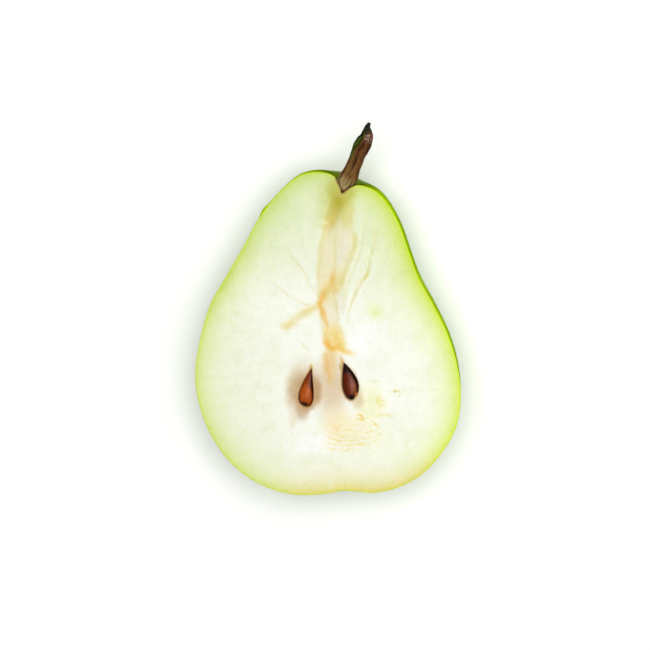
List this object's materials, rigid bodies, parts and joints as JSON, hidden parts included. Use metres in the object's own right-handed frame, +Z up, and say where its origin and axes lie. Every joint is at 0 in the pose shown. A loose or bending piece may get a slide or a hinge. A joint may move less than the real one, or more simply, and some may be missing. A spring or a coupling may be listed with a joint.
{
  "type": "pear half",
  "caption": "Half of a fresh pear cut lengthwise, resting on its round back with the flat cut face up, stem attached and dark seeds showing in the core.",
  "frame": {"origin": "on the surface the half rests on, under the middle of its box, stem included", "axes": "+Z up and square to the cut face, +Y along the fruit towards the stem, +X towards the slimmer cheek"},
  "size_m": [0.07, 0.0976, 0.0358],
  "materials": {
    "fruit": "satin",
    "stem": "matte",
    "calyx": "matte",
    "seed_brown": "satin",
    "seed_dark": "satin"
  },
  "bodies": {
    "root": {"pear_half": "fruit", "stem": "stem", "calyx": "calyx", "seed_left": "seed_brown", "seed_right": "seed_dark"}
  },
  "joints": []
}
